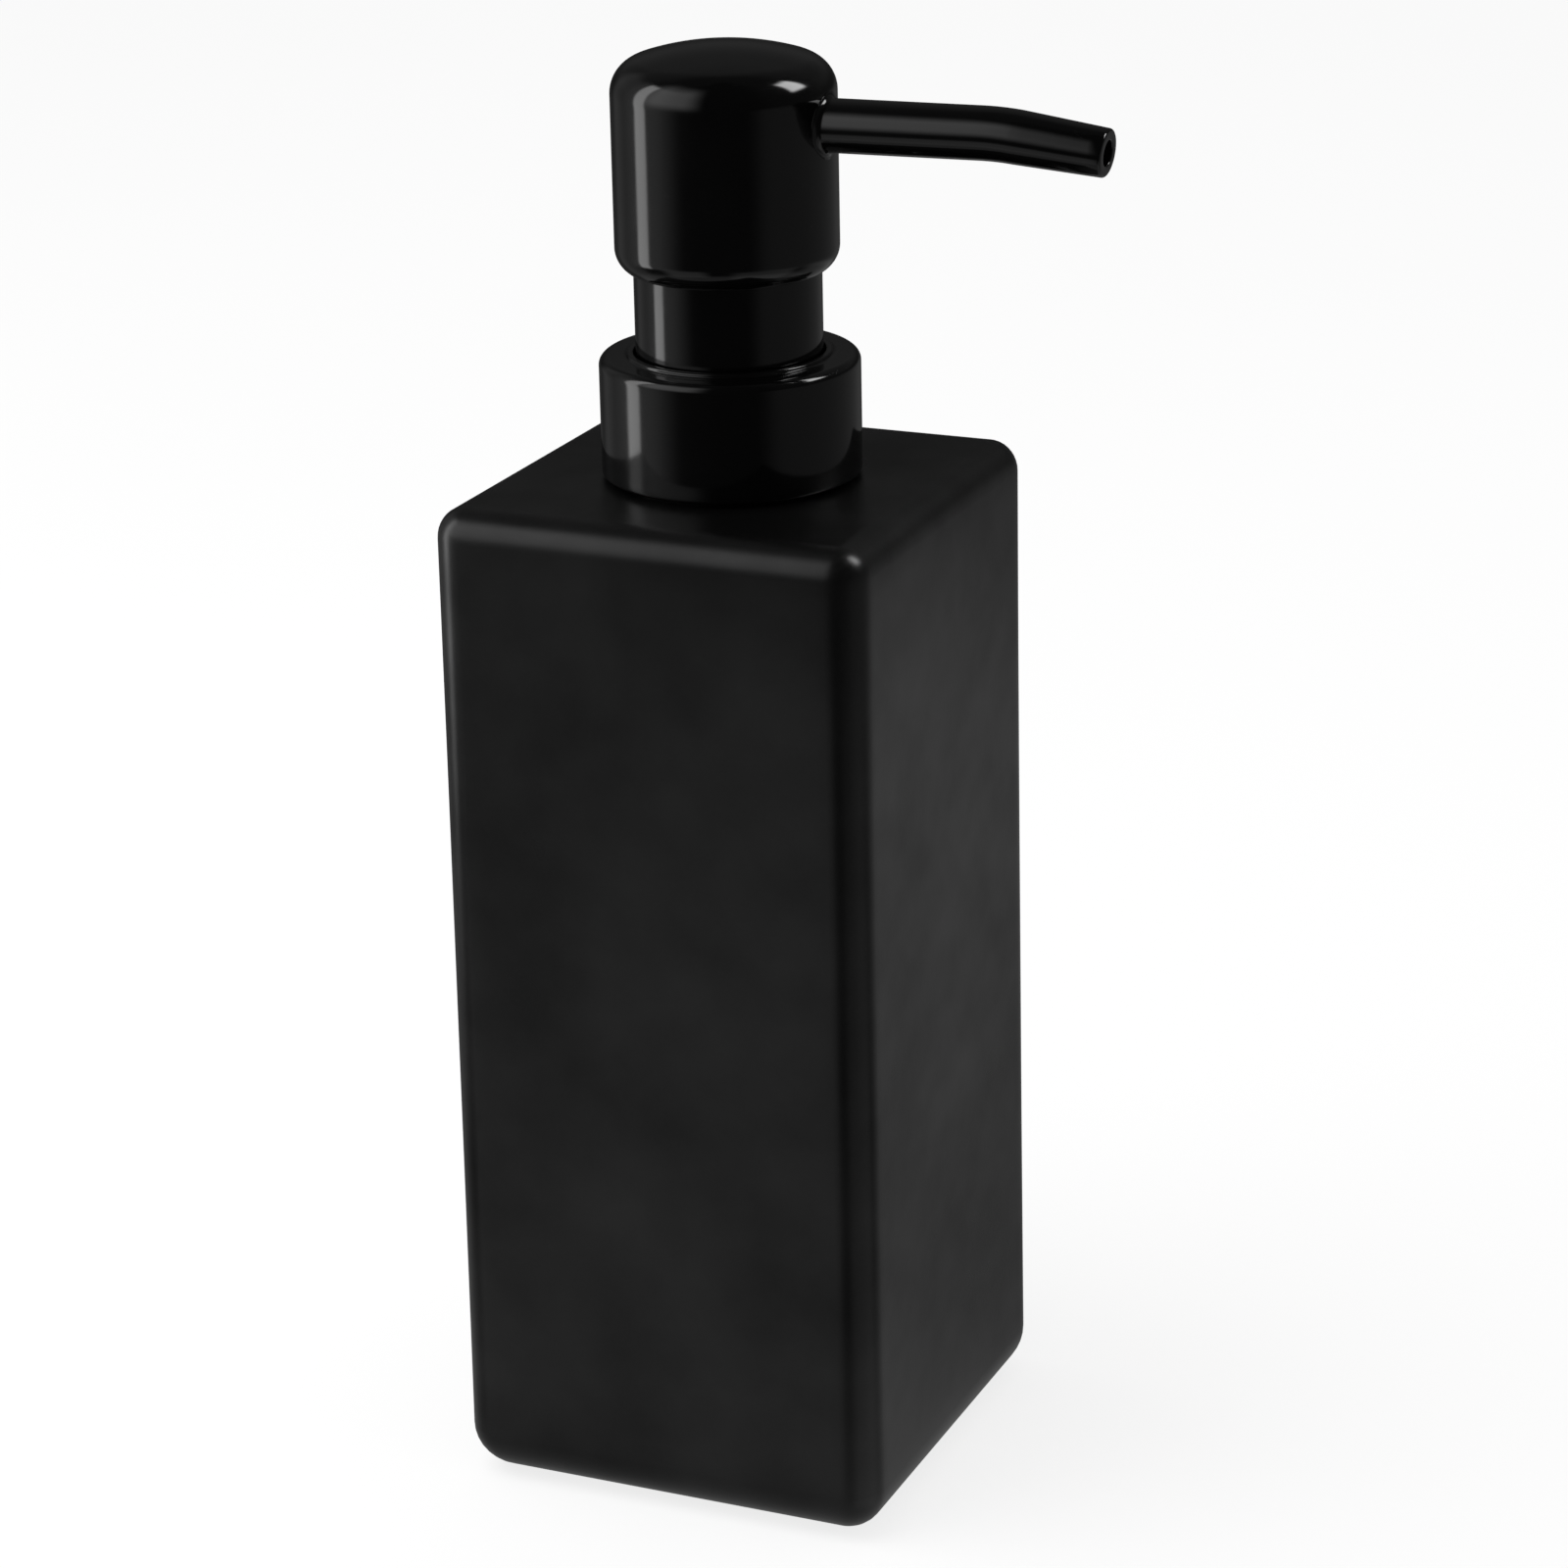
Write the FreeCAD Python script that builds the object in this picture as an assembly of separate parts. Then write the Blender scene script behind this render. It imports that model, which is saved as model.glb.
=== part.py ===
import FreeCAD, Part

import math
import os

from FreeCAD import Vector

# Soap pump dispenser: a square bottle with a threaded neck, and a lotion pump screwed on it.
# Millimetres, +Z up, +X towards the spout. The origin is on the surface that the bottle stands on,
# below the middle of the bottle. Heights are measured from that surface.

UP = Vector(0, 0, 1)
ORIGIN = Vector(0, 0, 0)

# Bottle: slip-cast ceramic, square with rounded edges
BOTTLE_SIDE = 59.6
BOTTLE_HEIGHT = 135.0
BOTTLE_EDGE_R = 4.6
BOTTLE_WALL = 4.0
BOTTLE_FLOOR = 6.0
BOTTLE_SHOULDER = 5.0
CAVITY_EDGE_R = 3.0
FOOT_RECESS_SIDE = 44.0
FOOT_RECESS_DEPTH = 1.0
MOUTH_R = 12.3

# 28 mm screw neck, six threads to the inch, bonded in the mouth of the bottle
THREAD_PITCH = 25.4 / 6
NECK_ROOT_R = 12.9
NECK_CREST_R = 13.75
NECK_BORE_R = 10.3
NECK_FLANGE_R = 14.2
NECK_FLANGE_H = 1.0
NECK_HEIGHT = 10.0
NECK_TURNS = 1.0
RIB_ROOT_WIDTH = 2.0
RIB_CREST_WIDTH = 1.1
RIB_EMBED = 0.2

# Screw collar: threaded nut under a glossy cover
COLLAR_R = 16.75
COLLAR_LOW = BOTTLE_HEIGHT + 0.5
COLLAR_TOP = BOTTLE_HEIGHT + 16.0
COLLAR_EDGE_R = 1.2
COVER_WALL = 1.35
COVER_ROOF = 1.3
LIP_WIDTH = 0.95
LIP_HEIGHT = 0.5
LIP_EDGE_R = 0.22
COLLAR_FOOT_CHAMFER = 0.5
NUT_ROOT_R = 14.15
NUT_CREST_R = 13.15
NUT_LOW = BOTTLE_HEIGHT + 1.3
NUT_TURNS = 1.25
NUT_ROOF = 1.25

# Fixed part of the pump, from the gasket up to the guide sleeve and down to the dip tube
FLANGE_R = 13.0
GASKET_H = 1.0
FLANGE_H = 1.2
SLEEVE_R = 12.0
SLEEVE_BORE_R = 10.6
SLEEVE_TOP = BOTTLE_HEIGHT + 29.6
SLEEVE_FLANGE_H = 1.1
CYLINDER_R = 7.8
CYLINDER_BORE_R = 6.5
CYLINDER_FLOOR = 96.0
VENT_R = 0.75
VENT_HEIGHT = 137.0
SEAT_CHAMBER_R = 3.3
SEAT_CHAMBER_H = 3.5
SEAT_HOLE_R = 1.5
SEAT_HOLE_H = 1.3
SOCKET_R = 4.8
SOCKET_BORE_R = 3.4
SOCKET_DEPTH = 10.4
DIP_TUBE_R = 3.35
DIP_TUBE_BORE_R = 2.4
DIP_TUBE_LOW = 9.0
CHAPLET_R = 9.6
CHAPLET_H = 1.2
CHAPLET_DEPTH = 4.5
RETAINER_R = 6.4
RETAINER_FOOT_H = 1.0
RETAINER_DISC_H = 1.2
RETAINER_POST_R = 3.6
RETAINER_POST_H = 4.3
RETAINER_HOLE_R = 2.0
RETAINER_SLOTS = 4
BALL_R = 2.5

# Moving rod, its plug, the piston on it, and the spring under it
STEM_R = 3.5
STEM_BORE_R = 1.9
STEM_LOW = 133.0
STEM_TOP = 175.1
SHOULDER_R = 4.6
SHOULDER_H = 1.0
STOP_GAP = 0.1
PORT_R = 0.45
PORT_HEIGHT = 0.65
PLUG_R = 5.4
PLUG_H = 2.0
PLUG_BOSS_R = 2.9
PLUG_BOSS_H = 3.0
PLUG_SHANK_H = 5.5
PLUG_SHANK_WIDTH = 2.2
PISTON_R = 6.44
PISTON_LIP_R = 6.1
PISTON_WAIST_R = 5.2
PISTON_H = 7.4
PISTON_LIP_H = 2.4
SPRING_MEAN_R = 4.5
WIRE_R = 0.4
SPRING_TURNS = 9
RUNNING_FIT = 0.06
GLUE_GAP = 0.05

# Pump head: glossy shell, actuator insert and spout
HEAD_R = 14.3
HEAD_LOW = BOTTLE_HEIGHT + 26.6
HEAD_PEAK = BOTTLE_HEIGHT + 55.7
HEAD_TOP_EDGE_R = 4.6
HEAD_DOME_R = 36.0
HEAD_BOTTOM_EDGE_R = 3.5
HEAD_WALL = 1.5
HEAD_LIP_R = 12.3
HEAD_LIP_H = 3.4
CORE_R = 12.6
CORE_WALL = 1.1
CORE_LOW = HEAD_LOW + 13.2
CORE_TOP = 184.4
CORE_FLOOR = 1.4
HUB_R = 5.6
HUB_LOW = 166.0
RIB_THICK = 1.2
CHANNEL_R = 1.6
CHANNEL_TUBE_R = 3.9
SPOUT_AXIS_HEIGHT = 180.9
SPOUT_RISE = 1.0
SPOUT_BEND = 7.0
SPOUT_BEND_R = 40.0
SPOUT_SPIGOT_R = 2.6
SPOUT_SPIGOT_LOW = 7.1
SPOUT_ROOT_R = 3.4
SPOUT_BEND_TUBE_R = 3.38
SPOUT_TIP_R = 3.04
SPOUT_BEND_START = 34.5
SPOUT_LAST_RUN = 11.7
SPOUT_BORE_R = 1.6
SPOUT_TIP_EDGE_R = 0.3
SPOUT_FLARE = 0.8

# Heights that follow from the sizes above
neck_top = BOTTLE_HEIGHT + NECK_HEIGHT
flange_low = neck_top + GASKET_H
flange_top = flange_low + FLANGE_H
chaplet_low = flange_top - CHAPLET_DEPTH
seat_cone_h = SEAT_CHAMBER_R - SEAT_HOLE_R
seat_low = CYLINDER_FLOOR - SEAT_CHAMBER_H - seat_cone_h
socket_top = seat_low - SEAT_HOLE_H
retainer_disc_low = CYLINDER_FLOOR + RETAINER_FOOT_H
spring_low = retainer_disc_low + RETAINER_DISC_H
spring_top = STEM_LOW - PLUG_H


def disc(radius, low, high):
    """Solid cylinder on the pump's axis."""
    return Part.makeCylinder(radius, high - low, Vector(0, 0, low), UP)


def ring(outer_r, inner_r, low, high):
    """Hollow cylinder on the pump's axis."""
    return disc(outer_r, low, high).cut(disc(inner_r, low - 1, high + 1))


def arc_point(centre, radius, degrees):
    """Point (r, z) on a circle in the half plane of a turned profile."""
    angle = math.radians(degrees)
    return centre[0] + radius * math.cos(angle), centre[1] + radius * math.sin(angle)


def turned(steps):
    """Solid turned about the Z axis. A step is a point (r, z), or an arc given as a list of two
    points: one on the way, and its end."""
    edges = []
    here = Vector(steps[0][0], 0, steps[0][1])
    for step in steps[1:] + steps[:1]:
        if isinstance(step, list):
            middle, end = [Vector(r, 0, z) for r, z in step]
            edges.append(Part.Arc(here, middle, end).toShape())
        else:
            end = Vector(step[0], 0, step[1])
            if end.distanceToPoint(here) < 1e-7:
                continue
            edges.append(Part.makeLine(here, end))
        here = end
    return Part.Face(Part.Wire(edges)).revolve(ORIGIN, UP, 360)


def rounded_box(side, low, high, radius):
    """Square box on the axis with every edge rounded."""
    box = Part.makeBox(side, side, high - low, Vector(-side / 2, -side / 2, low))
    return box.makeFillet(radius, box.Edges)


def thread_rib(root_r, crest_r, low_centre, turns):
    """One right-hand thread: a trapezium swept along a helix, rooted a little inside its wall."""
    outward = 1 if crest_r > root_r else -1
    base_r = root_r - outward * RIB_EMBED
    corners = [
        Vector(base_r, 0, -RIB_ROOT_WIDTH / 2),
        Vector(crest_r, 0, -RIB_CREST_WIDTH / 2),
        Vector(crest_r, 0, RIB_CREST_WIDTH / 2),
        Vector(base_r, 0, RIB_ROOT_WIDTH / 2),
    ]
    profile = Part.makePolygon(corners + corners[:1])
    helix = Part.makeHelix(THREAD_PITCH, THREAD_PITCH * turns, root_r)
    rib = Part.Wire(helix.Edges).makePipeShell([profile], True, True)
    rib.translate(Vector(0, 0, low_centre))
    return rib


def in_spout_line(shape):
    """Place a shape that was made along +X from the origin on the tilted axis of the spout."""
    shape.rotate(ORIGIN, Vector(0, 1, 0), -SPOUT_RISE)
    shape.translate(Vector(0, 0, SPOUT_AXIS_HEIGHT))
    return shape


def rod_along_x(radius, start, end, end_radius=None):
    """Straight or tapered round rod along +X."""
    base = Vector(start, 0, 0)
    along = Vector(1, 0, 0)
    if end_radius is None or end_radius == radius:
        return Part.makeCylinder(radius, end - start, base, along)
    return Part.makeCone(radius, end_radius, end - start, base, along)


def bottle():
    body = rounded_box(BOTTLE_SIDE, 0, BOTTLE_HEIGHT, BOTTLE_EDGE_R)
    cavity_side = BOTTLE_SIDE - 2 * BOTTLE_WALL
    cavity_top = BOTTLE_HEIGHT - BOTTLE_SHOULDER
    cavity = rounded_box(cavity_side, BOTTLE_FLOOR, cavity_top, CAVITY_EDGE_R)
    mouth = disc(MOUTH_R, cavity_top - 1, BOTTLE_HEIGHT + 1)
    half = FOOT_RECESS_SIDE / 2
    recess = Part.makeBox(FOOT_RECESS_SIDE, FOOT_RECESS_SIDE, 2 * FOOT_RECESS_DEPTH,
                          Vector(-half, -half, -FOOT_RECESS_DEPTH))
    upright = [edge for edge in recess.Edges if abs(edge.tangentAt(edge.FirstParameter).z) > 0.9]
    recess = recess.makeFillet(CAVITY_EDGE_R, upright)
    return body.cut(cavity).cut(mouth).cut(recess)


def neck_ring():
    spigot_r = MOUTH_R - GLUE_GAP
    spigot_low = BOTTLE_HEIGHT - BOTTLE_SHOULDER
    flange_h = BOTTLE_HEIGHT + NECK_FLANGE_H
    chamfer = 0.4
    tube = turned([
        (NECK_BORE_R, spigot_low),
        (spigot_r, spigot_low),
        (spigot_r, BOTTLE_HEIGHT),
        (NECK_FLANGE_R, BOTTLE_HEIGHT),
        (NECK_FLANGE_R, flange_h),
        (NECK_ROOT_R, flange_h),
        (NECK_ROOT_R, neck_top - chamfer),
        (NECK_ROOT_R - chamfer, neck_top),
        (NECK_BORE_R, neck_top),
    ])
    rib_start = NUT_LOW + 0.6 * RIB_ROOT_WIDTH + THREAD_PITCH / 2
    return tube.fuse(thread_rib(NECK_ROOT_R, NECK_CREST_R, rib_start, NECK_TURNS))


def collar_nut():
    roof_top = COLLAR_TOP - COVER_ROOF - GLUE_GAP
    roof_low = roof_top - NUT_ROOF
    outer_r = COLLAR_R - COVER_WALL - GLUE_GAP
    hole_r = SLEEVE_R + 0.3
    cup = ring(outer_r, NUT_ROOT_R, NUT_LOW, roof_top)
    roof = ring(outer_r, hole_r, roof_low, roof_top)
    rib_start = NUT_LOW + 0.6 * RIB_ROOT_WIDTH
    return cup.fuse(roof).fuse(thread_rib(NUT_ROOT_R, NUT_CREST_R, rib_start, NUT_TURNS))


def collar_cover():
    hole_r = SLEEVE_R + 0.25
    lip_r = hole_r + LIP_WIDTH
    lip_top = COLLAR_TOP + LIP_HEIGHT
    inner_r = COLLAR_R - COVER_WALL
    roof_low = COLLAR_TOP - COVER_ROOF
    lip_in = (hole_r + LIP_EDGE_R, lip_top - LIP_EDGE_R)
    lip_out = (lip_r - LIP_EDGE_R, lip_top - LIP_EDGE_R)
    edge = (COLLAR_R - COLLAR_EDGE_R, COLLAR_TOP - COLLAR_EDGE_R)
    return turned([
        (hole_r, roof_low),
        (hole_r, lip_in[1]),
        [arc_point(lip_in, LIP_EDGE_R, 135), arc_point(lip_in, LIP_EDGE_R, 90)],
        arc_point(lip_out, LIP_EDGE_R, 90),
        [arc_point(lip_out, LIP_EDGE_R, 45), arc_point(lip_out, LIP_EDGE_R, 0)],
        (lip_r, COLLAR_TOP),
        (edge[0], COLLAR_TOP),
        [arc_point(edge, COLLAR_EDGE_R, 45), arc_point(edge, COLLAR_EDGE_R, 0)],
        (COLLAR_R, COLLAR_LOW + COLLAR_FOOT_CHAMFER),
        (COLLAR_R - COLLAR_FOOT_CHAMFER, COLLAR_LOW),
        (inner_r, COLLAR_LOW),
        (inner_r, roof_low),
    ])


def gasket():
    return ring(FLANGE_R, NECK_BORE_R + 0.1, neck_top, flange_low)


def housing():
    shell = turned([
        (CYLINDER_BORE_R, flange_top),
        (FLANGE_R, flange_top),
        (FLANGE_R, flange_low),
        (CYLINDER_R, flange_low),
        (CYLINDER_R, CYLINDER_FLOOR),
        (SOCKET_R, CYLINDER_FLOOR - (CYLINDER_R - SOCKET_R)),
        (SOCKET_R, socket_top - SOCKET_DEPTH),
        (SOCKET_BORE_R, socket_top - SOCKET_DEPTH),
        (SOCKET_BORE_R, socket_top),
        (SEAT_HOLE_R, socket_top),
        (SEAT_HOLE_R, seat_low),
        (SEAT_CHAMBER_R, seat_low + seat_cone_h),
        (SEAT_CHAMBER_R, CYLINDER_FLOOR),
        (CYLINDER_BORE_R, CYLINDER_FLOOR),
    ])
    vent = Part.makeCylinder(VENT_R, 2 * CYLINDER_R, Vector(0, 0, VENT_HEIGHT), Vector(1, 0, 0))
    return shell.cut(vent)


def chaplet():
    bore_r = STEM_R + RUNNING_FIT
    tube_r = CYLINDER_BORE_R - GLUE_GAP
    plate = ring(CHAPLET_R, bore_r, flange_top, flange_top + CHAPLET_H)
    return plate.fuse(ring(tube_r, bore_r, chaplet_low, flange_top))


def guide_sleeve():
    edge = (SLEEVE_R - 0.4, SLEEVE_TOP - 0.4)
    return turned([
        (SLEEVE_BORE_R, flange_top),
        (FLANGE_R, flange_top),
        (FLANGE_R, flange_top + SLEEVE_FLANGE_H),
        (SLEEVE_R, flange_top + SLEEVE_FLANGE_H),
        (SLEEVE_R, edge[1]),
        [arc_point(edge, 0.4, 45), arc_point(edge, 0.4, 90)],
        (SLEEVE_BORE_R, SLEEVE_TOP),
    ])


def dip_tube():
    tube = ring(DIP_TUBE_R, DIP_TUBE_BORE_R, DIP_TUBE_LOW, socket_top - GLUE_GAP)
    wedge = Part.makeBox(40, 40, 40, Vector(-20, -20, -40))
    wedge.rotate(ORIGIN, Vector(0, 1, 0), 45)
    wedge.translate(Vector(0, 0, DIP_TUBE_LOW + DIP_TUBE_R))
    return tube.cut(wedge)


def ball_retainer():
    foot = ring(RETAINER_R, SEAT_CHAMBER_R + 0.9, CYLINDER_FLOOR, retainer_disc_low)
    plate = disc(RETAINER_R, retainer_disc_low, spring_low)
    post = disc(RETAINER_POST_R, spring_low, spring_low + RETAINER_POST_H)
    body = foot.fuse(plate).fuse(post)
    body = body.cut(disc(RETAINER_HOLE_R, CYLINDER_FLOOR - 1, spring_low + RETAINER_POST_H + 1))
    for number in range(RETAINER_SLOTS):
        slot = Part.makeCylinder(0.7, 4, Vector(5.55, 0, retainer_disc_low - 2), UP)
        slot.rotate(ORIGIN, UP, 45 + number * 360 / RETAINER_SLOTS)
        body = body.cut(slot)
    return body


def inlet_ball():
    resting = seat_low - SEAT_HOLE_R + BALL_R * math.sqrt(2) + GLUE_GAP
    return Part.makeSphere(BALL_R, Vector(0, 0, resting))


def spring():
    low = spring_low + WIRE_R + GLUE_GAP
    length = spring_top - WIRE_R - GLUE_GAP - low
    pitch = length / SPRING_TURNS
    outward = Vector(1, 0, 0)
    along_wire = Vector(0, 2 * math.pi * SPRING_MEAN_R, pitch).normalize()
    across = along_wire.cross(outward)

    def rim(quarter):
        angle = quarter * math.pi / 2
        return outward * (SPRING_MEAN_R + WIRE_R * math.cos(angle)) + across * (WIRE_R * math.sin(angle))

    # the wire's section is drawn as four arcs, square to the wire
    section = Part.Wire([Part.Arc(rim(q), rim(q + 0.5), rim(q + 1)).toShape() for q in range(4)])
    helix = Part.makeHelix(pitch, length, SPRING_MEAN_R)
    coil = Part.Wire(helix.Edges).makePipeShell([section], True, True)
    coil.translate(Vector(0, 0, low))
    return coil


def stem():
    shoulder_top = chaplet_low - STOP_GAP
    rod = disc(STEM_R, STEM_LOW, STEM_TOP)
    rod = rod.fuse(disc(SHOULDER_R, shoulder_top - SHOULDER_H, shoulder_top))
    rod = rod.cut(disc(STEM_BORE_R, STEM_LOW - 1, STEM_TOP + 1))
    for direction in (Vector(1, 0, 0), Vector(0, 1, 0)):
        start = direction * (-2 * STEM_R) + Vector(0, 0, STEM_LOW + PORT_HEIGHT)
        rod = rod.cut(Part.makeCylinder(PORT_R, 4 * STEM_R, start, direction))
    return rod


def stem_plug():
    shank = disc(STEM_BORE_R - GLUE_GAP, STEM_LOW, STEM_LOW + PLUG_SHANK_H)
    flat = Part.makeBox(8, PLUG_SHANK_WIDTH, 8, Vector(-4, -PLUG_SHANK_WIDTH / 2, STEM_LOW))
    head = disc(PLUG_R, spring_top, STEM_LOW)
    boss = disc(PLUG_BOSS_R, spring_top - PLUG_BOSS_H, spring_top)
    return head.fuse(boss).fuse(shank.common(flat))


def piston():
    low = STEM_LOW + STOP_GAP
    high = low + PISTON_H
    bore_r = STEM_R + RUNNING_FIT
    return turned([
        (bore_r, low),
        (PISTON_LIP_R, low),
        (PISTON_R, low + 0.7),
        (PISTON_WAIST_R, low + PISTON_LIP_H),
        (PISTON_WAIST_R, high - PISTON_LIP_H),
        (PISTON_R, high - 0.7),
        (PISTON_LIP_R, high),
        (PISTON_WAIST_R, high - 1.6),
        (bore_r + 0.9, high - 1.6),
        (bore_r + 0.9, high),
        (bore_r, high),
    ])


def head_shell():
    corner = (HEAD_R - HEAD_TOP_EDGE_R, 0)
    dome_low = HEAD_PEAK - HEAD_DOME_R
    reach = math.sqrt((HEAD_DOME_R - HEAD_TOP_EDGE_R) ** 2 - corner[0] ** 2)
    corner = (corner[0], dome_low + reach)
    dome = (0, dome_low)
    meet = math.degrees(math.atan2(reach, corner[0]))
    bottom = (HEAD_R - HEAD_BOTTOM_EDGE_R, HEAD_LOW + HEAD_BOTTOM_EDGE_R)
    lip_turn = -math.degrees(math.acos((HEAD_LIP_R - bottom[0]) / HEAD_BOTTOM_EDGE_R))
    inner_r = HEAD_R - HEAD_WALL
    inner_edge_r = HEAD_TOP_EDGE_R - HEAD_WALL
    inner_dome_r = HEAD_DOME_R - HEAD_WALL
    lip_top = HEAD_LOW + HEAD_LIP_H
    shell = turned([
        arc_point(bottom, HEAD_BOTTOM_EDGE_R, lip_turn),
        [arc_point(bottom, HEAD_BOTTOM_EDGE_R, lip_turn / 2), arc_point(bottom, HEAD_BOTTOM_EDGE_R, 0)],
        (HEAD_R, corner[1]),
        [arc_point(corner, HEAD_TOP_EDGE_R, meet / 2), arc_point(corner, HEAD_TOP_EDGE_R, meet)],
        [arc_point(dome, HEAD_DOME_R, (meet + 90) / 2), (0, HEAD_PEAK)],
        (0, HEAD_PEAK - HEAD_WALL),
        [arc_point(dome, inner_dome_r, (meet + 90) / 2), arc_point(dome, inner_dome_r, meet)],
        [arc_point(corner, inner_edge_r, meet / 2), arc_point(corner, inner_edge_r, 0)],
        (inner_r, lip_top + inner_r - HEAD_LIP_R),
        (HEAD_LIP_R, lip_top),
    ])
    hole = in_spout_line(rod_along_x(SPOUT_ROOT_R + GLUE_GAP, HUB_R, HEAD_R + 4))
    return shell.cut(hole)


def head_core():
    floor_top = CORE_LOW + CORE_FLOOR
    body = disc(CORE_R, CORE_LOW, floor_top)
    body = body.fuse(ring(CORE_R, CORE_R - CORE_WALL, CORE_LOW, CORE_TOP))
    body = body.fuse(disc(HUB_R, HUB_LOW, CORE_TOP))
    inside = disc(CORE_R - CORE_WALL / 2, CORE_LOW, CORE_TOP)
    for number in range(1, 4):
        rib = Part.makeBox(CORE_R, RIB_THICK, CORE_TOP - CORE_LOW, Vector(0, -RIB_THICK / 2, CORE_LOW))
        rib.rotate(ORIGIN, UP, number * 90)
        body = body.fuse(rib.common(inside))
    channel_tube = in_spout_line(rod_along_x(CHANNEL_TUBE_R, 0, CORE_R + 1))
    body = body.fuse(channel_tube.common(disc(CORE_R, CORE_LOW, HEAD_PEAK)))
    body = body.cut(disc(STEM_R + RUNNING_FIT, HUB_LOW - 1, STEM_TOP + STOP_GAP))
    body = body.cut(disc(CHANNEL_R, STEM_TOP, SPOUT_AXIS_HEIGHT + CHANNEL_R))
    body = body.cut(in_spout_line(rod_along_x(CHANNEL_R, 0, CORE_R)))
    socket_r = SPOUT_SPIGOT_R + GLUE_GAP
    return body.cut(in_spout_line(rod_along_x(socket_r, SPOUT_SPIGOT_LOW - GLUE_GAP, HEAD_R)))


def spout_run(root_r, bend_r, tip_r, start, overrun):
    """The outline of the spout, or its bore: a straight run, a short bend and a last run."""
    first = rod_along_x(root_r, start, SPOUT_BEND_START, bend_r)
    section = Part.Face(Part.Wire(Part.makeCircle(bend_r, Vector(SPOUT_BEND_START, 0, 0), Vector(1, 0, 0))))
    bend_centre = Vector(SPOUT_BEND_START, 0, -SPOUT_BEND_R)
    bend = section.revolve(bend_centre, Vector(0, 1, 0), SPOUT_BEND)
    last = rod_along_x(bend_r, SPOUT_BEND_START, SPOUT_BEND_START + SPOUT_LAST_RUN + overrun, tip_r)
    if tip_r == SPOUT_TIP_R:
        rim = [edge for edge in last.Edges if abs(edge.BoundBox.XMin - edge.BoundBox.XMax) < 1e-6
               and edge.BoundBox.XMin > SPOUT_BEND_START + 1]
        last = last.makeFillet(SPOUT_TIP_EDGE_R, rim)
    last.rotate(bend_centre, Vector(0, 1, 0), SPOUT_BEND)
    return first.fuse(bend).fuse(last)


def spout():
    outside = spout_run(SPOUT_ROOT_R, SPOUT_BEND_TUBE_R, SPOUT_TIP_R, CORE_R + 0.2, 0)
    outside = outside.fuse(rod_along_x(SPOUT_SPIGOT_R, SPOUT_SPIGOT_LOW, CORE_R + 0.5))
    flare_r = SPOUT_ROOT_R + SPOUT_FLARE
    flare = rod_along_x(flare_r, CORE_R + 0.5, HEAD_R + SPOUT_FLARE)
    groove = Part.makeTorus(flare_r, SPOUT_FLARE, Vector(HEAD_R + SPOUT_FLARE, 0, 0), Vector(1, 0, 0))
    flare = in_spout_line(flare.cut(groove)).cut(disc(HEAD_R + 0.02, HEAD_LOW, HEAD_PEAK))
    bore = spout_run(SPOUT_BORE_R, SPOUT_BORE_R, SPOUT_BORE_R, SPOUT_SPIGOT_LOW - 1, 1)
    return in_spout_line(outside).fuse(flare).cut(in_spout_line(bore))


PIECES = {
    "bottle": bottle,
    "neck_ring": neck_ring,
    "gasket": gasket,
    "housing": housing,
    "chaplet": chaplet,
    "guide_sleeve": guide_sleeve,
    "dip_tube": dip_tube,
    "ball_retainer": ball_retainer,
    "inlet_ball": inlet_ball,
    "spring": spring,
    "collar_nut": collar_nut,
    "collar_cover": collar_cover,
    "stem": stem,
    "stem_plug": stem_plug,
    "piston": piston,
    "head_shell": head_shell,
    "head_core": head_core,
    "spout": spout,
}

os.makedirs("parts", exist_ok=True)
for name, make in PIECES.items():
    shape = make()
    box = shape.BoundBox
    print(f"{name}: {len(shape.Solids)} solid, valid {shape.isValid()}, {shape.Volume / 1000:.2f} cm3, "
          f"z {box.ZMin:.2f} to {box.ZMax:.2f}, x {box.XMin:.2f} to {box.XMax:.2f}")
    shape.exportStep(f"parts/{name}.step")
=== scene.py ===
import math

import bmesh
import bpy
from mathutils import Matrix, Vector, noise


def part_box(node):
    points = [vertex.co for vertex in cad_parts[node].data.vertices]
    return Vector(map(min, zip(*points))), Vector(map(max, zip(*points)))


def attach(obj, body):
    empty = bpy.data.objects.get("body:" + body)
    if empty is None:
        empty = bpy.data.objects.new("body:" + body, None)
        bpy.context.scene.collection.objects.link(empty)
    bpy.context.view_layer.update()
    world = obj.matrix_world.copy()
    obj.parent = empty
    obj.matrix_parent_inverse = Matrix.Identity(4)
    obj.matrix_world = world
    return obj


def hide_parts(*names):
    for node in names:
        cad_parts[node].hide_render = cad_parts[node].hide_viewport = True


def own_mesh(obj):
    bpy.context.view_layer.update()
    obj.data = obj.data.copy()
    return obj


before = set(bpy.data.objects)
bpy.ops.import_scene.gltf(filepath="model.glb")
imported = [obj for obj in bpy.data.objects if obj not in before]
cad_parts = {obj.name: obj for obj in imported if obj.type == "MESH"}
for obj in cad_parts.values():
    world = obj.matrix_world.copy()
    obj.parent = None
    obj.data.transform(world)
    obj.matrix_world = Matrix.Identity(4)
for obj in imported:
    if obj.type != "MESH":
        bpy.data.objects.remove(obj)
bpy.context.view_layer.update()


# ---------------------------------------------------------------------------------------------
# Bottle: a square slip-cast stoneware jar with soft edges, its mouth in the middle of the top.
# Dipped in a satin black glaze, which pools a little thicker in places; the foot is wiped bare.

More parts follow.
